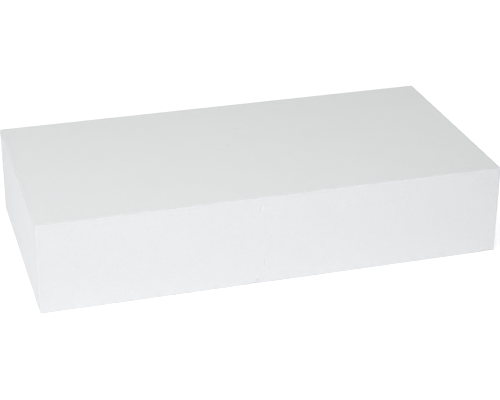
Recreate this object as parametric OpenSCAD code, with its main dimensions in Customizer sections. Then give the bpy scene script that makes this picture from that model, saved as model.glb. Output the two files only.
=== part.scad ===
// Foam insulation board: one block of expanded bead foam, cut square with a
// hot wire, with its arrises softened and a few marks of handling.
// X runs along the board, Y across it with the front face at -Y, and Z is up.
// The origin is the middle of the underside. Sizes are in millimetres.

/* [Board] */
// Length of the board
board_length = 1000; // [500:1:1300]
// Width of the board
board_width = 500; // [250:1:650]
// Thickness of the board
board_thickness = 200; // [80:1:300]
// Radius of the softened arrises and corners
arris_radius = 1.5; // [1:0.1:6]

/* [Upper scratch, on the front face] */
// From the middle of the board's length to the scratch, to the right
upper_scratch_x = -34.5; // [-150:0.5:150]
// From the top face down to the middle of the scratch
upper_scratch_drop = 24; // [16:0.5:40]
// Length of the scratch
upper_scratch_length = 17; // [8:0.5:24]
// Lean of its upper end to the right, in degrees
upper_scratch_lean = 12; // [-60:1:60]

/* [Lower scratch, on the front face] */
// From the middle of the board's length to the scratch, to the right
lower_scratch_x = -26; // [-150:0.5:150]
// From the underside up to the middle of the scratch
lower_scratch_rise = 48.5; // [20:0.5:60]
// Length of the scratch
lower_scratch_length = 15.5; // [8:0.5:24]

/* [Both scratches] */
// Width of a scratch at the face
scratch_width = 3.2; // [2:0.1:5]
// Depth of a scratch below the face
scratch_depth = 1; // [0.4:0.1:1.5]

/* [Chipped front arris of the underside] */
// From the middle of the board's length to the chip, to the right
chip_x = -47.5; // [-150:0.5:150]
// Length of the chip along the arris
chip_length = 32; // [15:0.5:60]
// Depth of the chip, in from where the sharp arris would be
chip_depth = 3.2; // [1.5:0.1:5]
// From the middle of the chip to the torn-out bead pit, to the right
torn_pit_offset = 6.5; // [-15:0.5:15]
// From the underside up to the middle of the pit
torn_pit_rise = 9; // [5:0.5:15]
// Diameter of the pit at the face
torn_pit_width = 6; // [4:0.5:10]
// Depth of the pit below the face
torn_pit_depth = 2; // [1:0.1:3.5]

/* [Crushed lower corner, front right] */
// From the right end to the middle of the crushed stretch
corner_crush_inset = 16; // [5:0.5:60]
// Length of the crushed stretch along the arris
corner_crush_length = 42; // [20:0.5:80]
// Depth of the crush, in from where the sharp arris would be
corner_crush_depth = 3; // [1.5:0.1:5]
// From the right end to the nick beside it
corner_nick_inset = 36.5; // [20:0.5:80]
// From the underside up to the middle of the nick
corner_nick_rise = 12.5; // [8:0.5:25]
// Length of the nick
corner_nick_length = 8; // [5:0.5:12]

/* [Top face and its left arris] */
// From the middle of the board's length to the finger dent, to the right
dent_x = -33; // [-150:0.5:150]
// From the middle of the board's width to the finger dent, to the back
dent_y = 20; // [-80:0.5:80]
// Diameter of the finger dent
dent_width = 19; // [10:0.5:30]
// Depth of the finger dent
dent_depth = 0.8; // [0.3:0.1:2]
// From the left end to the pit of the beads lost from the left arris
arris_pit_inset = 4; // [1:0.5:8]
// From the middle of the board's width to that pit, to the back
arris_pit_y = -9; // [-80:0.5:80]
// Diameter of that pit at the top face
arris_pit_width = 8; // [5:0.5:10]
// Depth of that pit below the top face
arris_pit_depth = 2; // [0.5:0.1:2.5]
// From the middle of the board's length to the single lost bead, to the right
bead_pit_x = 17; // [-150:0.5:150]
// From the middle of the board's width to the single lost bead, to the back
bead_pit_y = 108; // [50:0.5:115]
// Diameter of its pit
bead_pit_width = 5; // [3:0.5:8]
// Depth of its pit
bead_pit_depth = 1.4; // [0.5:0.1:2.5]

/* [Hidden] */
$fn = 96;

half_length = board_length / 2;
half_width = board_width / 2;
front = -half_width;
// The board less its rounding: the box between the centres of the corner balls.
core = [board_length, board_width, board_thickness] - 2 * arris_radius * [1, 1, 1];
foam_white = [0.9, 0.91, 0.92];

// Radius of the ball that sinks to a depth inside a mouth of a given width.
function ball_radius(width, depth) = (width * width / 4 + depth * depth) / (2 * depth);

// The four rods that round the arrises along one axis.
module arris_rods(across, up, length) {
    for (a = [-1, 1], b = [-1, 1])
        translate([a * across, b * up] / 2) cylinder(h = length, r = arris_radius, center = true);
}

// The balls that round the eight corners.
module corner_balls() {
    for (x = [-1, 1], y = [-1, 1], z = [-1, 1])
        translate([x * core.x, y * core.y, z * core.z] / 2) sphere(arris_radius);
}

// The plain board with softened arrises: three slabs that reach its faces, a rod
// along each arris and a ball at each corner.
module softened_block() {
    translate([0, 0, board_thickness / 2]) {
        cube([board_length, core.y, core.z], center = true);
        cube([core.x, board_width, core.z], center = true);
        cube([core.x, core.y, board_thickness], center = true);
        arris_rods(core.x, core.y, core.z);
        rotate([90, 0, 0]) arris_rods(core.x, core.z, core.y);
        rotate([90, 0, 90]) arris_rods(core.y, core.z, core.x);
        corner_balls();
    }
}

// Places its children on the front face, with their +Z out of the face and +Y up.
module on_front(x, z) {
    translate([x, front, z]) rotate([90, 0, 0]) children();
}

// Places its children on the top face.
module on_top(x, y) {
    translate([x, y, board_thickness]) children();
}

// Places its children on the sharp line where the front face meets the underside,
// with their +Z out along the diagonal.
module on_lower_front_arris(x) {
    translate([x, front, 0]) rotate([135, 0, 0]) children();
}

// Cutter for a round dent or pit, centred on the surface.
module round_dent(width, depth) {
    radius = ball_radius(width, depth);
    translate([0, 0, radius - depth]) sphere(radius);
}

// Cutter for a scratch along Y, with round ends.
module scratch(length, width, depth) {
    radius = ball_radius(width, depth);
    reach = (length - width) / 2;
    translate([0, 0, radius - depth]) {
        rotate([90, 0, 0]) cylinder(h = 2 * reach, r = radius, center = true);
        for (end = [-1, 1]) translate([0, end * reach, 0]) sphere(radius);
    }
}

// The two scratches on the front face.
module front_scratches() {
    on_front(upper_scratch_x, board_thickness - upper_scratch_drop)
        rotate(-upper_scratch_lean) scratch(upper_scratch_length, scratch_width, scratch_depth);
    on_front(lower_scratch_x, lower_scratch_rise)
        scratch(lower_scratch_length, scratch_width, scratch_depth);
}

// The chip out of the lower front arris, and the torn-out pit above it.
module arris_chip() {
    on_lower_front_arris(chip_x) round_dent(chip_length, chip_depth);
    on_front(chip_x + torn_pit_offset, torn_pit_rise) round_dent(torn_pit_width, torn_pit_depth);
}

// The crushed stretch at the lower right corner, and the nick beside it.
module corner_crush() {
    on_lower_front_arris(half_length - corner_crush_inset)
        round_dent(corner_crush_length, corner_crush_depth);
    on_front(half_length - corner_nick_inset, corner_nick_rise)
        scratch(corner_nick_length, scratch_width, scratch_depth);
}

// The finger dent and the lost beads on the top.
module top_marks() {
    on_top(dent_x, dent_y) round_dent(dent_width, dent_depth);
    on_top(arris_pit_inset - half_length, arris_pit_y)
        round_dent(arris_pit_width, arris_pit_depth);
    on_top(bead_pit_x, bead_pit_y) round_dent(bead_pit_width, bead_pit_depth);
}

// The whole board.
module foam_board() {
    color(foam_white)
        difference() {
            softened_block();
            front_scratches();
            arris_chip();
            corner_crush();
            top_marks();
        }
}

foam_board();
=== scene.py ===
"""Dresses a foam insulation board, one block of expanded bead foam cut square with a hot wire, and lights it.

Lengths are in metres. X runs along the board, Y across it with the front face at -Y, and Z is up. The origin
is the middle of the underside.
"""

from __future__ import annotations

import logging
import math
from dataclasses import dataclass, field
from enum import Enum

import bpy
import numpy as np
from mathutils import Matrix, Vector

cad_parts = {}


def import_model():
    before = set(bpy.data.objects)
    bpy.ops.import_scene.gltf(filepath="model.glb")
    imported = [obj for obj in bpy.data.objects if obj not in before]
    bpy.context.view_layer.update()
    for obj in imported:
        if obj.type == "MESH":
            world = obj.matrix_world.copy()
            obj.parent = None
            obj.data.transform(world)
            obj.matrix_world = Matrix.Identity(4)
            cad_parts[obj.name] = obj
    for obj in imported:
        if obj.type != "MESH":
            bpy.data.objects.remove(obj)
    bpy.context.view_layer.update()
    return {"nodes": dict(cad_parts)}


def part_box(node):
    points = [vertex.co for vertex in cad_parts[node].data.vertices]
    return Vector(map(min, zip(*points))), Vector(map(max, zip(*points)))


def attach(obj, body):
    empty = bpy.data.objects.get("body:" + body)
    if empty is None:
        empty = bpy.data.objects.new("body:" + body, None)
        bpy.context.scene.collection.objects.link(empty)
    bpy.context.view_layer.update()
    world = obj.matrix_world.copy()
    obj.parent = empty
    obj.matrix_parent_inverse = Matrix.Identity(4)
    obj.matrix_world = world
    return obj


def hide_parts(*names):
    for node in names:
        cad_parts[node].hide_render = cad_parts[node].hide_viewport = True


LOG = logging.getLogger("foam board")
MM = 0.001
NODE = "foam_board"
BAKE_MAP = "OFBake"
# Mesh attribute of painted shading: painted shade where positive, painted highlight where negative.
PAINTED_SHADING = "painted_shading"
SAME_PLACE = 0.001 * MM
CELL_PRIMES = np.array([73856093, 19349663, 83492791])
AXIS_PRIMES = np.array([2654435761, 2246822519, 3266489917])
MIXING_PRIME = 668265263

Colour = tuple[float, float, float]
Triple = tuple[float, float, float]


class Side(Enum):
    """A face of the board, as (u axis, v axis, normal axis, end).

    The u and v axes lie in the face, in the order in which u cross v points out of the foam. The end is 1
    where the face closes the positive end of its normal axis, and -1 at the negative end.
    """

    TOP = (0, 1, 2, 1)
    UNDERSIDE = (1, 0, 2, -1)
    FRONT = (0, 2, 1, -1)
    BACK = (2, 0, 1, 1)
    RIGHT_END = (1, 2, 0, 1)
    LEFT_END = (2, 1, 0, -1)

    @property
    def u(self) -> int:
        """Number of the first axis in the face."""
        return self.value[0]

    @property
    def v(self) -> int:
        """Number of the second axis in the face."""
        return self.value[1]

    @property
    def out(self) -> np.ndarray:
        """Unit vector out of the face."""
        vector = np.zeros(3)
        vector[self.value[2]] = self.value[3]
        return vector


@dataclass(frozen=True)
class BoardSize:
    """Outer size of the board."""

    length: float
    width: float
    thickness: float

    @classmethod
    def of_node(cls, node: str) -> BoardSize:
        """Reads the size of a CAD node.

        Args:
            node: Name of the node.

        Returns:
            The size of the node's box.
        """
        low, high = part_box(node)
        return cls(*(high - low))

    @property
    def half(self) -> np.ndarray:
        """Half of the length, width and thickness."""
        return np.array([self.length, self.width, self.thickness]) / 2

    @property
    def middle(self) -> np.ndarray:
        """The middle of the board, half its thickness above the origin."""
        return np.array([0.0, 0.0, self.thickness / 2])


@dataclass(frozen=True)
class Mark:
    """A hollow left in the foam by a ball, or by a ball drawn along a short line.

    Attributes:
        place: Middle of the mark, on the surface of the sharp-edged board, from the middle of the board.
        outward: Direction out of the foam there.
        width: Width of the hollow at the surface.
        depth: Depth of the hollow below the surface.
        run: From the middle of the mark to one end of the line that the ball is drawn along.
        torn: Whether beads were torn out, so that their neighbours show as bumps in the hollow.
        painted_shading: Painted shading in the hollow, from 1 for painted shade that greys it to -1 for a
            painted highlight that makes it lighter than the faces.
    """

    place: Triple
    outward: Triple
    width: float
    depth: float
    run: Triple = (0.0, 0.0, 0.0)
    torn: bool = False
    painted_shading: float = 0.12

    @property
    def reach(self) -> float:
        """Distance from the middle within which the mark changes the surface."""
        return float(np.linalg.norm(self.run)) + self.width / 2

    def hollow(self, points: np.ndarray) -> np.ndarray:
        """Measures how far each point has to go in to clear the ball.

        The ball that sinks to depth d in a mouth of width w has the radius (w^2 / 4 + d^2) / 2d. With m the
        vector to a point from the nearest place of the ball's centre, and i the inward unit vector, the way
        in is the larger root t of |m + t i| = radius.

        Args:
            points: Points on the board, one row each, from the middle of the board.

        Returns:
            The way in for each point, 0 where the ball doesn't reach.
        """
        outward = np.array(self.outward) / np.linalg.norm(self.outward)
        radius = (self.width**2 / 4 + self.depth**2) / (2 * self.depth)
        line = np.array(self.run)
        offset = points - (np.array(self.place) + outward * (radius - self.depth))
        if line.any():
            along = np.clip(offset @ line / (line @ line), -1, 1)
            offset = offset - along[:, None] * line
        inward = offset @ -outward
        gap = (offset**2).sum(1) - radius**2
        root = np.sqrt(np.maximum(inward**2 - gap, 0))
        return np.where(gap < 0, root - inward, 0.0)


@dataclass(frozen=True)
class HandlingMarks:
    """Sizes and places of the marks that handling has left on the board.

    Every x is from the middle of the length to the right, and every y from the middle of the width to the
    back. A rise is from the underside, a drop from the top and an inset from the nearest end. The torn pit's
    offset is from the middle of the chip.
    """

    scratch_width: float = 3.2 * MM
    scratch_depth: float = 1.0 * MM
    upper_scratch_x: float = -34.5 * MM
    upper_scratch_drop: float = 24 * MM
    upper_scratch_length: float = 17 * MM
    upper_scratch_lean: float = math.radians(12)
    lower_scratch_x: float = -26 * MM
    lower_scratch_rise: float = 48.5 * MM
    lower_scratch_length: float = 15.5 * MM
    chip_x: float = -47.5 * MM
    chip_length: float = 32 * MM
    chip_depth: float = 3.2 * MM
    torn_pit_offset: float = 6.5 * MM
    torn_pit_rise: float = 9 * MM
    torn_pit_width: float = 6 * MM
    torn_pit_depth: float = 2 * MM
    # A bead above the torn pit: a shallow hollow that a painted highlight lightens.
    lit_bead_rise: float = 15.5 * MM
    lit_bead_width: float = 5 * MM
    lit_bead_depth: float = 0.3 * MM
    crush_inset: float = 16 * MM
    crush_length: float = 42 * MM
    crush_depth: float = 3 * MM
    nick_inset: float = 36.5 * MM
    nick_rise: float = 12.5 * MM
    nick_length: float = 8 * MM
    dent_x: float = -33 * MM
    dent_y: float = 20 * MM
    dent_width: float = 19 * MM
    dent_depth: float = 0.8 * MM
    arris_pit_inset: float = 4 * MM
    arris_pit_y: float = -9 * MM
    arris_pit_width: float = 8 * MM
    arris_pit_depth: float = 2 * MM
    bead_pit_x: float = 17 * MM
    bead_pit_y: float = 108 * MM
    bead_pit_width: float = 5 * MM
    bead_pit_depth: float = 1.4 * MM

    def scratch(self, x: float, z: float, length: float, half: np.ndarray, lean: float = 0.0) -> Mark:
        """Places one scratch on the front face.

        Args:
            x: Place along the board.
            z: Height above the underside.
            length: Length of the scratch over its round ends.
            half: Half sizes of the board.
            lean: Lean of the upper end to the right, in radians.

        Returns:
            The scratch.
        """
        reach = (length - self.scratch_width) / 2
        run = (reach * math.sin(lean), 0.0, reach * math.cos(lean))
        place = (x, -half[1], z - half[2])
        return Mark(place, (0, -1, 0), self.scratch_width, self.scratch_depth, run)

    def all(self, size: BoardSize) -> list[Mark]:
        """Places every mark on a board.

        Args:
            size: Size of the board.

        Returns:
            The marks, from the middle of the board.
        """
        half = size.half
        front, top, under = -half[1], half[2], -half[2]
        below = (0, -1, -1)
        # The hollows are greyed by painted shade, and the bead above the torn pit is lightened by a painted
        # highlight.
        return [
            self.scratch(self.upper_scratch_x, size.thickness - self.upper_scratch_drop,
                         self.upper_scratch_length, half, self.upper_scratch_lean),
            self.scratch(self.lower_scratch_x, self.lower_scratch_rise, self.lower_scratch_length, half),
            self.scratch(half[0] - self.nick_inset, self.nick_rise, self.nick_length, half),
            Mark((self.chip_x, front, under), below, self.chip_length, self.chip_depth, torn=True, painted_shading=0.1),
            Mark((self.chip_x + self.torn_pit_offset, front, under + self.torn_pit_rise), (0, -1, 0),
                 self.torn_pit_width, self.torn_pit_depth, torn=True, painted_shading=0.4),
            # The bead above the torn pit, lightened by a painted highlight.
            Mark((self.chip_x + self.torn_pit_offset, front, under + self.lit_bead_rise), (0, -1, 0),
                 self.lit_bead_width, self.lit_bead_depth, painted_shading=-0.3),
            Mark((half[0] - self.crush_inset, front, under), below,
                 self.crush_length, self.crush_depth, painted_shading=0.25),
            Mark((self.dent_x, self.dent_y, top), (0, 0, 1), self.dent_width, self.dent_depth, painted_shading=0.08),
            Mark((self.arris_pit_inset - half[0], self.arris_pit_y, top), (0, 0, 1),
                 self.arris_pit_width, self.arris_pit_depth, torn=True, painted_shading=0.08),
            Mark((self.bead_pit_x, self.bead_pit_y, top), (0, 0, 1),
                 self.bead_pit_width, self.bead_pit_depth, torn=True, painted_shading=0.25),
        ]


@dataclass(frozen=True)
class BeadPack:
    """The beads that the foam was blown from, as a jittered cubic lattice of bead centres."""

    pitch: float = 4.5 * MM
    seed: int = 11

    def centres_near(self, points: np.ndarray) -> np.ndarray:
        """Finds the 27 bead centres round each point.

        Each lattice cell holds one centre, moved from the cell's corner by a hash of its three numbers.

        Args:
            points: Points, one row each.

        Returns:
            The centres, shaped (points, 27, 3).
        """
        steps = np.stack(np.meshgrid(*[np.arange(-1, 2)] * 3, indexing="ij"), -1).reshape(-1, 3)
        cells = np.floor(points / self.pitch).astype(np.int64)[:, None, :] + steps
        mixed = (cells * CELL_PRIMES).sum(-1) + self.seed
        keys = mixed[..., None] * AXIS_PRIMES
        keys = (keys ^ (keys >> 15)) * MIXING_PRIME
        jitter = ((keys ^ (keys >> 13)) & 0xFFFF) / 0xFFFF
        return (cells + jitter) * self.pitch

    def roundness(self, points: np.ndarray) -> np.ndarray:
        """Measures how near each point is to the middle of its bead.

        It is the second nearest centre's distance less the nearest one's, over half a pitch.

        Args:
            points: Points, one row each.

        Returns:
            0 on a seam between two beads, up to 1 in the middle of one.
        """
        distance = np.linalg.norm(points[:, None, :] - self.centres_near(points), axis=-1)
        nearest = np.partition(distance, 1, axis=1)[:, :2]
        return np.clip((nearest[:, 1] - nearest[:, 0]) / (self.pitch / 2), 0, 1)


@dataclass(frozen=True)
class SlowWaves:
    """A smooth random field: a sum of sine waves that run in random directions."""

    shortest: float
    longest: float
    count: int = 14
    seed: int = 3

    def height(self, points: np.ndarray) -> np.ndarray:
        """Adds up the waves, each sin(2 pi direction . point / wavelength + phase).

        Args:
            points: Points, one row each.

        Returns:
            Heights from 0 to 1, with 0.5 as their mean.
        """
        random = np.random.default_rng(self.seed)
        directions = random.normal(size=(self.count, 3))
        directions /= np.linalg.norm(directions, axis=1)[:, None]
        wavelengths = np.geomspace(self.shortest, self.longest, self.count)
        phases = random.uniform(0, 2 * math.pi, self.count)
        waves = np.sin(2 * math.pi * points @ (directions / wavelengths[:, None]).T + phases)
        return np.clip(0.5 + waves.sum(1) / math.sqrt(self.count) / 3, 0, 1)


@dataclass(frozen=True)
class MeshSteps:
    """How finely the board's surface is cut into faces.

    Attributes:
        block: Side of a face in the plain middle of a side.
        band: Width of the finer band along each arris.
        fine: Step in the bands.
        finest: Step round a mark.
        turn: Number of steps across half of a round arris.
    """

    block: float = 10 * MM
    band: float = 12 * MM
    fine: float = 2.2 * MM
    finest: float = 0.9 * MM
    turn: int = 3


@dataclass(frozen=True)
class AxisLines:
    """The mesh lines along one axis: their places, and the numbers of those that bound a block."""

    places: np.ndarray
    blocks: np.ndarray

    @classmethod
    def cut(cls, half: float, arris: float, steps: MeshSteps,
            windows: list[tuple[float, float]]) -> AxisLines:
        """Cuts one axis of the board into blocks, and each block into steps.

        Across an arris the lines lie at tan(angle) of its radius, for even angles up to 45 degrees, so that
        they are evenly spaced once the arris is round.

        Args:
            half: Half of the board's size along the axis.
            arris: Radius of the arrises.
            steps: Mesh steps.
            windows: Stretches of the axis that a mark needs finely cut.

        Returns:
            The lines.
        """
        inner, edge = half - arris, half - steps.band
        turn = inner + arris * np.tan(np.linspace(0, math.pi / 4, steps.turn + 1))
        band = np.linspace(edge, inner, max(2, round((inner - edge) / steps.fine) + 1))
        rim = np.concatenate([band[:-1], turn])
        bounds = np.linspace(-edge, edge, max(1, round(2 * edge / steps.block)) + 1)
        stretches = []
        for low, high in zip(bounds[:-1], bounds[1:]):
            marked = any(low < window[1] and high > window[0] for window in windows)
            step = steps.finest if marked else steps.fine
            stretches.append(np.linspace(low, high, math.ceil((high - low) / step) + 1)[:-1])
        inside = np.concatenate(stretches)
        counts = np.cumsum([0] + [len(stretch) for stretch in stretches]) + len(rim) - 1
        places = np.concatenate([-rim[::-1], inside[1:], rim])
        return cls(places, np.concatenate([[0], counts, [len(places) - 1]]))

    @property
    def block_of_step(self) -> np.ndarray:
        """The block that holds each step between two lines."""
        return np.searchsorted(self.blocks, np.arange(len(self.places) - 1), side="right") - 1


@dataclass
class SideMesh:
    """A side of the sharp-edged board: fine blocks at its rim and round its marks, plain ones within."""

    side: Side
    lines: tuple[AxisLines, AxisLines, AxisLines]
    half: np.ndarray

    def points(self) -> np.ndarray:
        """Returns the crossings of the side's mesh lines, from the middle of the board."""
        u, v = np.meshgrid(self.lines[self.side.u].places, self.lines[self.side.v].places, indexing="ij")
        points = np.tile(self.side.out * self.half, (u.size, 1))
        points[:, self.side.u] = u.ravel()
        points[:, self.side.v] = v.ravel()
        return points

    def fine_blocks(self, marks: list[Mark]) -> np.ndarray:
        """Marks the blocks that are cut finely: those at the rim, and those that a mark reaches.

        Args:
            marks: The marks on the board.

        Returns:
            A table of true and false, one entry for each block.
        """
        u, v = self.lines[self.side.u], self.lines[self.side.v]
        fine = np.ones((len(u.blocks) - 1, len(v.blocks) - 1), bool)
        fine[1:-1, 1:-1] = False
        plane = abs(self.side.out) @ self.half
        for mark in marks:
            if abs(np.array(mark.place) @ self.side.out - plane) > SAME_PLACE:
                continue
            spans = [self._blocks_reached(axis, mark.place[number], mark.reach)
                     for axis, number in ((u, self.side.u), (v, self.side.v))]
            fine[np.ix_(*spans)] = True
        return fine

    @staticmethod
    def _blocks_reached(axis: AxisLines, place: float, reach: float) -> np.ndarray:
        """Returns the numbers of the blocks along an axis that lie within a reach of a place."""
        bounds = axis.places[axis.blocks]
        return np.nonzero((bounds[:-1] < place + reach) & (bounds[1:] > place - reach))[0]

    def faces(self, marks: list[Mark]) -> list[np.ndarray]:
        """Lays out the side's faces.

        A fine block becomes one face for each pair of steps. A plain block becomes one face, which takes in
        the ends of the steps of each fine block beside it.

        Args:
            marks: The marks on the board.

        Returns:
            Rows of point numbers, one array for the small faces, one for the plain blocks, and one for each
            plain block that borders a fine one.
        """
        u, v = self.lines[self.side.u], self.lines[self.side.v]
        across = len(v.places)
        fine = self.fine_blocks(marks)
        i, j = np.nonzero(fine[u.block_of_step][:, v.block_of_step])
        near, far = i * across + j, (i + 1) * across + j
        small = np.stack([near, far, far + 1, near + 1], 1)
        beside = np.zeros_like(fine)
        beside[1:-1, 1:-1] = fine[:-2, 1:-1] | fine[2:, 1:-1] | fine[1:-1, :-2] | fine[1:-1, 2:]
        a, b = np.nonzero(~fine & ~beside)
        left, right, low, high = u.blocks[a] * across, u.blocks[a + 1] * across, v.blocks[b], v.blocks[b + 1]
        plain = np.stack([left + low, right + low, right + high, left + high], 1)
        bordering = [self._bordering_face(fine, a, b) for a, b in np.argwhere(~fine & beside)]
        return [small, plain, *bordering]

    def _bordering_face(self, fine: np.ndarray, a: int, b: int) -> np.ndarray:
        """Returns the point numbers round a plain block that has a fine block on one side or more."""
        u, v = self.lines[self.side.u], self.lines[self.side.v]
        left, right, low, high = u.blocks[a], u.blocks[a + 1], v.blocks[b], v.blocks[b + 1]
        along = np.arange(left, right) if fine[a, b - 1] else np.array([left])
        up = np.arange(low, high) if fine[a + 1, b] else np.array([low])
        back = np.arange(right, left, -1) if fine[a, b + 1] else np.array([right])
        down = np.arange(high, low, -1) if fine[a - 1, b] else np.array([high])
        across = len(v.places)
        return np.concatenate([along * across + low, right * across + up, back * across + high,
                               left * across + down])[None, :]


@dataclass(frozen=True)
class CutSheet:
    """The flat layout of the board's sides in the unit square, for patterns that are kept as an image."""

    size: BoardSize
    gap: float = 5 * MM

    @property
    def rows(self) -> list[list[Side]]:
        """The sides in each row, from the bottom row up."""
        return [[Side.TOP], [Side.UNDERSIDE], [Side.FRONT], [Side.BACK], [Side.LEFT_END, Side.RIGHT_END]]

    @staticmethod
    def sheet_axes(side: Side) -> tuple[int, int]:
        """Returns the axes that run along and up the sheet: the side's lower numbered axis runs along it."""
        return min(side.u, side.v), max(side.u, side.v)

    def coordinates(self, side: Side, points: np.ndarray) -> np.ndarray:
        """Places points of one side on the sheet.

        Each side keeps its true size and lies after its neighbours with a gap between, and the sheet is then
        stretched to the unit square.

        Args:
            side: The side that the points lie on.
            points: Points from the middle of the board.

        Returns:
            Sheet coordinates, one row each.
        """
        spans = 2 * self.size.half
        height = self.gap
        corner = np.zeros(2)
        sheet_width = 0.0
        for row in self.rows:
            reach = self.gap
            for member in row:
                if member is side:
                    corner = np.array([reach, height])
                reach += spans[self.sheet_axes(member)[0]] + self.gap
            sheet_width = max(sheet_width, reach)
            height += spans[self.sheet_axes(row[0])[1]] + self.gap
        axes = list(self.sheet_axes(side))
        return (corner + points[:, axes] + self.size.half[axes]) / np.array([sheet_width, height])


class Nodes:
    """A small hand for laying out a node tree."""

    def __init__(self, tree: bpy.types.NodeTree) -> None:
        """Keeps the tree and empties it.

        Args:
            tree: The node tree to fill.
        """
        self.tree = tree
        tree.nodes.clear()

    def add(self, kind: str, inputs: dict[str | int, object] | None = None,
            **settings: object) -> bpy.types.Node:
        """Adds one node.

        Args:
            kind: Blender's name of the node type.
            inputs: Value, or socket to link from, for each named or numbered input.
            **settings: Properties of the node.

        Returns:
            The node.
        """
        node = self.tree.nodes.new(kind)
        for name, value in settings.items():
            setattr(node, name, value)
        for name, value in (inputs or {}).items():
            if isinstance(value, bpy.types.NodeSocket):
                self.tree.links.new(value, node.inputs[name])
            else:
                node.inputs[name].default_value = value
        return node

    def math(self, operation: str, *values: object) -> bpy.types.NodeSocket:
        """Adds a Math node and returns its output."""
        return self.add("ShaderNodeMath", dict(enumerate(values)), operation=operation).outputs[0]

    def spread(self, value: bpy.types.NodeSocket, source: tuple[float, float], target: tuple[float, float],
               smooth: bool = False) -> bpy.types.NodeSocket:
        """Maps a value from one range to another, clamped, with smooth ends where asked."""
        kind = "SMOOTHSTEP" if smooth else "LINEAR"
        ends = {0: value, 1: source[0], 2: source[1], 3: target[0], 4: target[1]}
        return self.add("ShaderNodeMapRange", ends, interpolation_type=kind).outputs[0]

    def seen(self) -> bpy.types.NodeSocket:
        """Gives 1 for a ray from the camera, straight or by a gloss or a clear body, and 0 for others."""
        path = self.add("ShaderNodeLightPath").outputs
        straight_or_gloss = self.math("MAXIMUM", path["Is Camera Ray"], path["Is Glossy Ray"])
        return self.math("MAXIMUM", straight_or_gloss, path["Is Transmission Ray"])


@dataclass(frozen=True)
class BeadFoamFinish:
    """Hot-wire cut bead foam: matt white, a mosaic of cut beads with fine seams and a few open voids.

    Attributes:
        white: Colour of a bead.
        bead: Mean size of a bead.
        bead_scatter: How irregular the beads are, from 0 to 1.
        bead_tone: Spread of brightness from bead to bead.
        seam_tone: How much darker the seams between beads are.
        seam: Width of a seam, as a share of a bead.
        void_spacing: Mean distance between open voids.
        void: Radius of a void, as a share of that distance.
        void_shade: How much darker a void is, as painted shade in it.
        shading_tone: How much darker the foam is where the mesh's painted shading attribute is 1, as painted
            shade; below 0 it is lighter, as a painted highlight.
        drift: Size of the broad, faint changes of density in the block.
        drift_detail: Number of finer waves in them.
        drift_range: The noise values between which they run.
        drift_tone: Spread of brightness in them.
        relief: Height of the bead pattern.
        roughness: Roughness of a bead and of a seam.
        gloss: Strength of the reflections.
        glow: Share of the light that scatters under the surface.
        glow_depth: How deep it scatters.
    """

    white: Colour = (0.860, 0.874, 0.883)
    bead: float = 4.6 * MM
    bead_scatter: float = 0.9
    bead_tone: float = 0.010
    seam_tone: float = 0.03
    seam: float = 0.1
    void_spacing: float = 15 * MM
    void: float = 0.06
    void_shade: float = 0.1
    shading_tone: float = 0.2
    drift: float = 110 * MM
    drift_detail: float = 2.0
    drift_range: tuple[float, float] = (0.3, 0.7)
    drift_tone: float = 0.008
    relief: float = 0.08 * MM
    roughness: tuple[float, float] = (0.62, 0.8)
    gloss: float = 0.35
    glow: float = 0.35
    glow_depth: float = 3 * MM

    def material(self) -> bpy.types.Material:
        """Builds the material.

        Returns:
            The material, in the board's own coordinates.
        """
        material = bpy.data.materials.new("bead_foam")
        material.use_nodes = True
        nodes = Nodes(material.node_tree)
        place = nodes.add("ShaderNodeTexCoord").outputs["Object"]
        beads = {"Vector": place, "Scale": 1 / self.bead, "Randomness": self.bead_scatter}
        cell = nodes.add("ShaderNodeTexVoronoi", beads, feature="F1")
        edge = nodes.add("ShaderNodeTexVoronoi", beads, feature="DISTANCE_TO_EDGE").outputs["Distance"]
        voids = {"Vector": place, "Scale": 1 / self.void_spacing}
        void = nodes.add("ShaderNodeTexVoronoi", voids, feature="F1")
        drifts = {"Vector": place, "Scale": 1 / self.drift, "Detail": self.drift_detail}
        drift = nodes.add("ShaderNodeTexNoise", drifts)

        body = nodes.spread(edge, (0.0, self.seam), (0.0, 1.0), smooth=True)
        solid = nodes.spread(void.outputs["Distance"], (self.void / 2, self.void), (0.0, 1.0), smooth=True)
        own = nodes.add("ShaderNodeSeparateColor", {0: cell.outputs["Color"]}).outputs[0]
        tone = nodes.spread(own, (0.0, 1.0), (1 - self.bead_tone, 1.0))
        tone = nodes.math("MULTIPLY", tone, nodes.spread(body, (0.0, 1.0), (1 - self.seam_tone, 1.0)))
        # Painted shade in the open voids.
        tone = nodes.math("MULTIPLY", tone, nodes.spread(solid, (0.0, 1.0), (1 - self.void_shade, 1.0)))
        slow = nodes.spread(drift.outputs[0], self.drift_range, (1 - self.drift_tone, 1.0))
        tone = nodes.math("MULTIPLY", tone, slow)
        # Painted shading from the mesh: it darkens the foam as painted shade, and lightens it as a painted
        # highlight where negative.
        painted_shading = nodes.add("ShaderNodeAttribute", attribute_name=PAINTED_SHADING).outputs["Fac"]
        shading_factor = nodes.math("SUBTRACT", 1.0, nodes.math("MULTIPLY", painted_shading, self.shading_tone))
        tone = nodes.math("MULTIPLY", tone, shading_factor)
        colour = nodes.add("ShaderNodeVectorMath", {0: self.white, "Scale": tone}, operation="SCALE")

        dome = nodes.math("SUBTRACT", 1.0, nodes.math("POWER", cell.outputs["Distance"], 2.0))
        height = nodes.math("MULTIPLY", nodes.math("ADD", dome, body), solid)
        bump = nodes.add("ShaderNodeBump", {"Height": height, "Distance": self.relief, "Strength": 1.0})
        rough = nodes.spread(body, (0.0, 1.0), (self.roughness[1], self.roughness[0]))
        shader = nodes.add("ShaderNodeBsdfPrincipled", {
            "Base Color": colour.outputs[0],
            "Roughness": rough,
            "Normal": bump.outputs[0],
            "Specular IOR Level": self.gloss,
            "Subsurface Weight": self.glow,
            "Subsurface Radius": (1.0, 1.0, 1.0),
            "Subsurface Scale": self.glow_depth,
        })
        nodes.add("ShaderNodeOutputMaterial", {"Surface": shader.outputs[0]})
        return material


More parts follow.
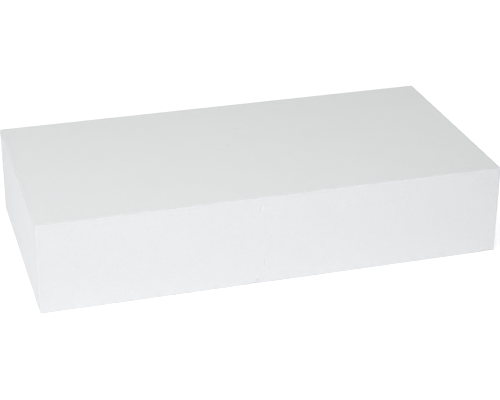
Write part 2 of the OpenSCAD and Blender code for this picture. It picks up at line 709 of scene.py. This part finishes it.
@dataclass
class FoamBoard:
    """The board itself: one solid block with softened, lightly worn arrises and a few marks of handling.

    Attributes:
        size: Sizes of the board.
        arris: Radius of the round arrises.
        wire_wave: Depth of the waves that the hot wire left on the faces.
        wire_waves: Their run over the faces.
        arris_wear: Depth of the slow wear along the arrises.
        wear_waves: Its run along them.
        bead_relief: How much deeper the seams between beads are cut there.
        torn_relief: How far beads stand up in a hollow from which others were torn.
        torn_parts: Such a bead leaves at least one part in this many of the hollow's depth.
        arris_shade: Painted shade on an arris that isn't worn.
        upright_share: Share of an upper arris's painted shade that an upright one has.
        band_shade: Painted shade beside the arrises.
        band_reach: How far it reaches on to the faces.
        corner_darkening: How much darker the foam is at the upper front corner of the right end.
        corner_reach: How far it spreads from there.
        steps: How finely the surface is cut into faces.
        beads: The beads, as they stand out where the foam is worn.
        handling: Sizes and places of the marks of handling.
        finish: The foam's finish.
    """

    size: BoardSize
    arris: float = 1.5 * MM
    wire_wave: float = 0.12 * MM
    wire_waves: SlowWaves = SlowWaves(90 * MM, 420 * MM)
    arris_wear: float = 0.4 * MM
    wear_waves: SlowWaves = SlowWaves(12 * MM, 160 * MM, seed=5)
    bead_relief: float = 0.25 * MM
    torn_relief: float = 0.8 * MM
    torn_parts: float = 3.0
    arris_shade: float = 1.5
    upright_share: float = 0.7
    band_shade: float = 0.08
    band_reach: float = 14 * MM
    corner_darkening: float = 0.2
    corner_reach: float = 150 * MM
    steps: MeshSteps = field(default_factory=MeshSteps)
    beads: BeadPack = field(default_factory=BeadPack)
    handling: HandlingMarks = field(default_factory=HandlingMarks)
    finish: BeadFoamFinish = field(default_factory=BeadFoamFinish)

    def sharp_board(self, marks: list[Mark]) -> tuple[np.ndarray, np.ndarray, np.ndarray, np.ndarray]:
        """Lays the six sides of the sharp-edged board out as one closed net of faces.

        Args:
            marks: The marks on the board.

        Returns:
            The points from the middle of the board, the point number at each corner of each face, the number
            of corners of each face, and the sheet coordinates at each corner.
        """
        windows = [[(m.place[axis] - m.reach, m.place[axis] + m.reach) for m in marks] for axis in range(3)]
        lines = tuple(AxisLines.cut(self.size.half[axis], self.arris, self.steps, windows[axis])
                      for axis in range(3))
        sheet = CutSheet(self.size)
        points, corners, counts, places, start = [], [], [], [], 0
        for side in Side:
            mesh = SideMesh(side, lines, self.size.half)
            crossings = mesh.points()
            faces = mesh.faces(marks)
            numbers = np.concatenate([rows.ravel() for rows in faces])
            counts += [np.full(len(rows), rows.shape[1]) for rows in faces]
            places.append(sheet.coordinates(side, crossings)[numbers])
            corners.append(numbers + start)
            points.append(crossings)
            start += len(crossings)
        used, corners = np.unique(np.concatenate(corners), return_inverse=True)
        points = np.concatenate(points)[used]
        _, first, joined = np.unique(np.round(points / SAME_PLACE).astype(np.int64), axis=0,
                                     return_index=True, return_inverse=True)
        return points[first], joined.ravel()[corners], np.concatenate(counts), np.concatenate(places)

    def rounded(self, points: np.ndarray) -> tuple[np.ndarray, np.ndarray]:
        """Pulls the sharp board's points on to the board with round arrises and ball corners.

        The core is the board less an arris radius all round. Each point goes to one radius from its nearest
        place on the core, in the direction in which it lay from there.

        Args:
            points: Points on the sharp board.

        Returns:
            The points on the round board, and the outward direction at each.
        """
        core, out = self.out_of_core(points, self.arris)
        return core + self.arris * out, out

    def out_of_core(self, points: np.ndarray, radius: float) -> tuple[np.ndarray, np.ndarray]:
        """Finds each point's nearest place on the board's core, and the outward direction from there.

        Args:
            points: Points on the board.
            radius: How much smaller the core is than the board, all round.

        Returns:
            The places on the core, and the outward directions.
        """
        core = np.clip(points, radius - self.size.half, self.size.half - radius)
        out = points - core
        return core, out / np.linalg.norm(out, axis=1)[:, None]

    @staticmethod
    def arris_share(out: np.ndarray) -> np.ndarray:
        """Returns 2 (1 - the largest square in each direction), up to 1: 0 on a face, 1 within an arris."""
        return np.clip(2 * (1 - (out**2).max(1)), 0, 1)

    def shade_share(self, out: np.ndarray) -> np.ndarray:
        """Returns the share of painted shade at each direction: 1 on upper arrises, and 0 on lower ones."""
        return np.clip(self.upright_share + out[:, 2], 0, 1)

    def face_darkening(self, points: np.ndarray) -> np.ndarray:
        """Works out the painted shade beside the arrises and the darkening towards one corner.

        Beside an arris the painted shade is the share of arris on a board rounded to the band's reach.
        Towards the upper front corner of the right end the darkening falls off as exp(-distance / reach).

        Args:
            points: Points on the round board.

        Returns:
            The darkening at each point.
        """
        _, beside = self.out_of_core(points, self.band_reach)
        shade_in_band = self.band_shade * self.arris_share(beside) * self.shade_share(beside)
        from_corner = np.linalg.norm(points - self.size.half * (1, -1, 1), axis=1)
        return shade_in_band + self.corner_darkening * np.exp(-from_corner / self.corner_reach)

    def worn(self, points: np.ndarray, out: np.ndarray) -> tuple[np.ndarray, np.ndarray]:
        """Wears the round board: wavy wire cuts on its faces, and crumbled beads along its arrises.

        The wear of an arris is a slow wave, with the seams between beads cut deeper than their middles. The
        arris also takes painted shade, more where it is less worn, which makes it darker than the faces
        beside it.

        Args:
            points: Points on the round board.
            out: Outward direction at each point.

        Returns:
            The points, moved inwards, and the painted shading at each.
        """
        share = self.arris_share(out)
        depth = self.wire_wave * self.wire_waves.height(points) * (1 - share)
        on_arris = share > 0.01
        edge = points[on_arris]
        slow = self.wear_waves.height(edge)
        seams = 1 - self.beads.roundness(edge)
        depth[on_arris] += share[on_arris] * (self.arris_wear * slow**2 + self.bead_relief * seams)
        # Painted shade in a band beside the arrises, and darkening towards the upper front corner of the
        # right end.
        painted_shading = self.face_darkening(points)
        # Painted shade on the arris itself, less where it is more worn.
        painted_shading[on_arris] += share[on_arris] * self.shade_share(out[on_arris]) * (self.arris_shade - slow)
        return points - depth[:, None] * out, painted_shading

    def marked(self, points: np.ndarray, painted_shading: np.ndarray,
               marks: list[Mark]) -> tuple[np.ndarray, np.ndarray]:
        """Presses every mark into the worn board.

        Where beads were torn out, those left standing in the hollow are let back out by a share of their
        roundness, never past the surface. A hollow takes its own painted shading in full from half its depth
        down.

        Args:
            points: Points on the worn board.
            painted_shading: Painted shading at each point.
            marks: The marks.

        Returns:
            The points, moved inwards along each mark's own direction, and the painted shading at each.
        """
        for mark in marks:
            near = np.linalg.norm(points - np.array(mark.place), axis=1) < 2 * mark.reach
            depth = mark.hollow(points[near])
            share = np.clip(2 * depth / mark.depth, 0, 1)
            # The hollow takes its painted shade, or its painted highlight for a negative value.
            painted_shading[near] += share * (mark.painted_shading - painted_shading[near])
            if mark.torn:
                raised = depth - self.torn_relief * self.beads.roundness(points[near])
                depth = np.maximum(raised, depth / self.torn_parts)
            outward = np.array(mark.outward) / np.linalg.norm(mark.outward)
            points[near] -= depth[:, None] * outward
        return points, painted_shading

    def build(self) -> bpy.types.Object:
        """Builds the board's mesh.

        Returns:
            The board, at the origin.
        """
        marks = self.handling.all(self.size)
        sharp, corners, counts, places = self.sharp_board(marks)
        points, painted_shading = self.marked(*self.worn(*self.rounded(sharp)), marks)
        points += self.size.middle
        mesh = bpy.data.meshes.new("foam_board_cut")
        mesh.vertices.add(len(points))
        mesh.vertices.foreach_set("co", points.astype(np.float32).ravel())
        mesh.loops.add(len(corners))
        mesh.loops.foreach_set("vertex_index", corners.astype(np.int32))
        mesh.polygons.add(len(counts))
        mesh.polygons.foreach_set("loop_start", (np.cumsum(counts) - counts).astype(np.int32))
        mesh.update(calc_edges=True)
        mesh.uv_layers.new(name=BAKE_MAP).uv.foreach_set("vector", places.astype(np.float32).ravel())
        mesh.attributes.new(PAINTED_SHADING, "FLOAT", "POINT").data.foreach_set("value", painted_shading.astype(np.float32))
        mesh.shade_smooth()
        mesh.materials.append(self.finish.material())
        board = bpy.data.objects.new("bead_foam_board", mesh)
        bpy.context.scene.collection.objects.link(board)
        return board

    def fit(self) -> bpy.types.Object:
        """Builds the board and puts it in the place of its CAD node.

        Returns:
            The board.
        """
        board = self.build()
        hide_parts(NODE)
        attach(board, "root")
        return board


@dataclass(frozen=True)
class Lamp:
    """A soft box: a square lamp that faces the board.

    Attributes:
        name: Name of the lamp.
        turn: Turn from straight in front of the board to the left, in degrees.
        height: Height above level, in degrees.
        distance: Distance from the middle of the board.
        side: Side of the lamp.
        power: Power in watts.
        colour: Colour of its light.
    """

    name: str
    turn: float
    height: float
    distance: float
    side: float
    power: float
    colour: Colour = (1.0, 1.0, 1.0)

    def hang(self, target: Vector) -> bpy.types.Object:
        """Hangs the lamp.

        Args:
            target: Point that the lamp faces.

        Returns:
            The lamp.
        """
        light = bpy.data.lights.new(self.name, "AREA")
        light.shape = "SQUARE"
        light.size = self.side
        light.energy = self.power
        light.color = self.colour
        turn, height = math.radians(self.turn), math.radians(self.height)
        level = math.cos(height)
        away = Vector((-math.sin(turn) * level, -math.cos(turn) * level, math.sin(height)))
        lamp = bpy.data.objects.new(self.name, light)
        lamp.location = target + away * self.distance
        lamp.rotation_euler = away.to_track_quat("Z", "Y").to_euler()
        lamp.visible_camera = False
        bpy.context.scene.collection.objects.link(lamp)
        return lamp


@dataclass(frozen=True)
class Studio:
    """A white room: a pale floor that keeps the board's shadow, even light all round and soft boxes.

    Attributes:
        floor_side: Side of the floor.
        floor_white: Colour of the floor.
        floor_drop: How far the floor lies below the board, so that the two never share a plane.
        lift: Light added to the floor where the camera sees it, near the board and far from it.
        lift_reach: Distances from the middle of the floor between which the lift rises.
        room_light: Strength of the even light.
        lamps: The soft boxes.
    """

    floor_side: float = 30.0
    floor_white: Colour = (0.93, 0.93, 0.93)
    floor_drop: float = 0.05 * MM
    lift: tuple[float, float] = (0.48, 0.52)
    lift_reach: tuple[float, float] = (0.7, 2.0)
    room_light: float = 0.47
    lamps: tuple[Lamp, ...] = (
        Lamp("key_soft_box", 50, 55, 3.5, 1.2, 26.2, (0.98, 1.0, 0.97)),
        Lamp("top_soft_box", 20, 70, 2.0, 1.0, 6.3, (0.98, 1.0, 0.97)),
        Lamp("front_soft_box", 0, 8, 3.5, 1.2, 21.1, (0.99, 0.95, 1.0)),
        Lamp("left_soft_box", 75, 8, 3.5, 1.2, 17.2, (0.99, 0.95, 1.0)),
    )

    def floor(self) -> bpy.types.Object:
        """Lays the floor: matt white, and lifted to the background's white where the camera sees it.

        Returns:
            The floor.
        """
        material = bpy.data.materials.new("studio_floor")
        material.use_nodes = True
        nodes = Nodes(material.node_tree)
        place = nodes.add("ShaderNodeTexCoord").outputs["Object"]
        away = nodes.add("ShaderNodeVectorMath", {0: place}, operation="LENGTH").outputs["Value"]
        lift = nodes.spread(away, self.lift_reach, self.lift, smooth=True)
        matt = nodes.add("ShaderNodeBsdfDiffuse", {"Color": (*self.floor_white, 1.0)})
        glow = nodes.add("ShaderNodeEmission", {"Strength": nodes.math("MULTIPLY", nodes.seen(), lift)})
        both = nodes.add("ShaderNodeAddShader", {0: matt.outputs[0], 1: glow.outputs[0]})
        nodes.add("ShaderNodeOutputMaterial", {"Surface": both.outputs[0]})
        reach, level = self.floor_side / 2, -self.floor_drop
        corners = [(x * reach, y * reach, level) for x, y in ((-1, -1), (1, -1), (1, 1), (-1, 1))]
        mesh = bpy.data.meshes.new("studio_floor")
        mesh.from_pydata(corners, [], [(0, 1, 2, 3)])
        mesh.materials.append(material)
        floor = bpy.data.objects.new("studio_floor", mesh)
        bpy.context.scene.collection.objects.link(floor)
        return floor

    def room(self) -> None:
        """Fills the room with even light, and shows it as white to the camera and in reflections."""
        world = bpy.data.worlds.new("studio_room")
        world.use_nodes = True
        nodes = Nodes(world.node_tree)
        strength = nodes.spread(nodes.seen(), (0.0, 1.0), (self.room_light, 1.0))
        light = nodes.add("ShaderNodeBackground", {"Color": (1.0, 1.0, 1.0, 1.0), "Strength": strength})
        nodes.add("ShaderNodeOutputWorld", {"Surface": light.outputs[0]})
        bpy.context.scene.world = world

    def set_up(self, target: Vector) -> None:
        """Lays the floor, fills the room with light and hangs the lamps.

        Args:
            target: Point that the lamps face.
        """
        self.floor()
        self.room()
        for lamp in self.lamps:
            lamp.hang(target)


@dataclass(frozen=True)
class Viewpoint:
    """Where the board is looked at from, and through which lens.

    Attributes:
        azimuth: Turn to the left of straight ahead, in degrees.
        elevation: Height above level, in degrees.
        roll: Turn about the line of sight, in degrees.
        distance: Distance from the middle of the board, along the line of sight.
        aside: Slide of the camera to its own right and up.
        lens: Focal length in mm.
        sensor: Width of the sensor in mm.
    """

    azimuth: float = -16.66
    elevation: float = 25.91
    roll: float = 0.315
    distance: float = 3.215
    aside: tuple[float, float] = (0.0147, -0.0244)
    lens: float = 104.0
    sensor: float = 36.0

    def place_camera(self, target: Vector) -> bpy.types.Object:
        """Makes the camera and hands it to the scene.

        Args:
            target: The middle of the board.

        Returns:
            The camera.
        """
        azimuth, elevation = math.radians(self.azimuth), math.radians(self.elevation)
        level = math.cos(elevation)
        back = Vector((math.sin(azimuth) * level, -math.cos(azimuth) * level, math.sin(elevation)))
        right = Vector((0, 0, 1)).cross(back).normalized()
        turn = Matrix.Rotation(math.radians(self.roll), 3, back)
        right = turn @ right
        up = back.cross(right)
        camera = bpy.data.objects.new("camera", bpy.data.cameras.new("camera"))
        camera.data.lens = self.lens
        camera.data.sensor_width = self.sensor
        camera.rotation_euler = Matrix((right, up, back)).transposed().to_euler()
        camera.location = target + back * self.distance + right * self.aside[0] + up * self.aside[1]
        bpy.context.scene.collection.objects.link(camera)
        bpy.context.scene.camera = camera
        return camera


def main() -> None:
    """Loads the frame, builds and dresses the board, and sets up the light and the camera."""
    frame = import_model()
    LOG.info("the frame holds %s", ", ".join(frame["nodes"]))
    scene = bpy.context.scene
    scene.view_settings.view_transform = "Standard"
    size = BoardSize.of_node(NODE)
    middle = Vector(size.middle)
    Viewpoint().place_camera(middle)
    board = FoamBoard(size).fit()
    LOG.info("%s: %d points, %d faces", board.name, len(board.data.vertices), len(board.data.polygons))
    Studio().set_up(middle)


if __name__ == "__main__":
    logging.basicConfig(level=logging.INFO, format="%(name)s: %(message)s")
    main()
